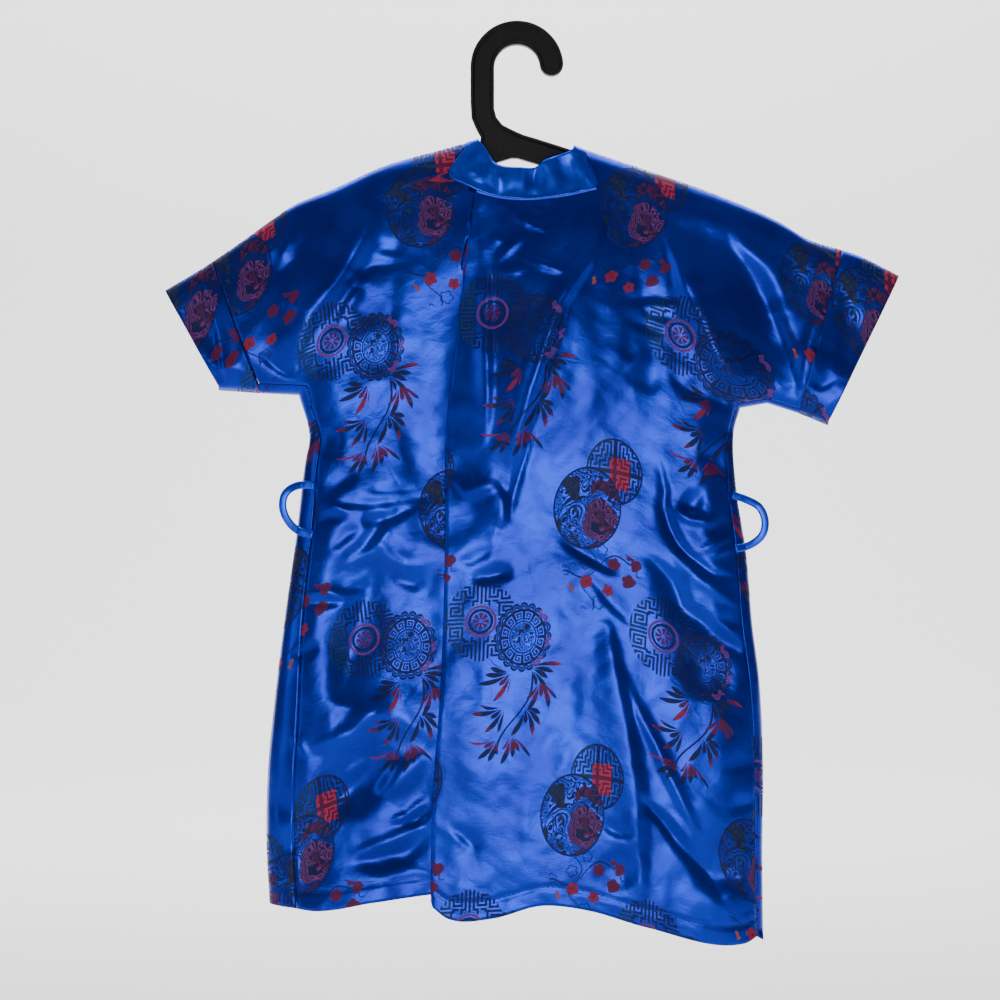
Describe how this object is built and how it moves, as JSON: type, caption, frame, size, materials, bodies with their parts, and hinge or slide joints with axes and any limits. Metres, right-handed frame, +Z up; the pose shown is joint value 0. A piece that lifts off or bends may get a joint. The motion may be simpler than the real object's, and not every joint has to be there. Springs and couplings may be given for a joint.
{
  "type": "kimono robe on a hanger",
  "caption": "Child's short-sleeved kimono robe in satin brocade with a collar band and belt loops, hung on a one-piece plastic hanger",
  "frame": {"origin": "the inside of the top of the hanger's hook, where a rod bears", "axes": "+Z up, the back of the robe faces -Y and its fronts face +Y, +X is towards the wearer's right sleeve"},
  "size_m": [0.5136, 0.0383, 0.6425],
  "materials": {
    "brocade": "glossy satin with a woven motif",
    "band": "glossy satin",
    "hanger_plastic": "moulded, slightly shiny"
  },
  "bodies": {
    "root": {"back": "brocade", "front_left": "brocade", "front_right": "brocade", "front_sleeve_left": "brocade", "front_sleeve_right": "brocade", "sleeve_end_left": "brocade", "sleeve_end_right": "brocade", "collar": "band", "belt_loop_left": "band", "belt_loop_right": "band", "hanger": "hanger_plastic"}
  },
  "joints": []
}
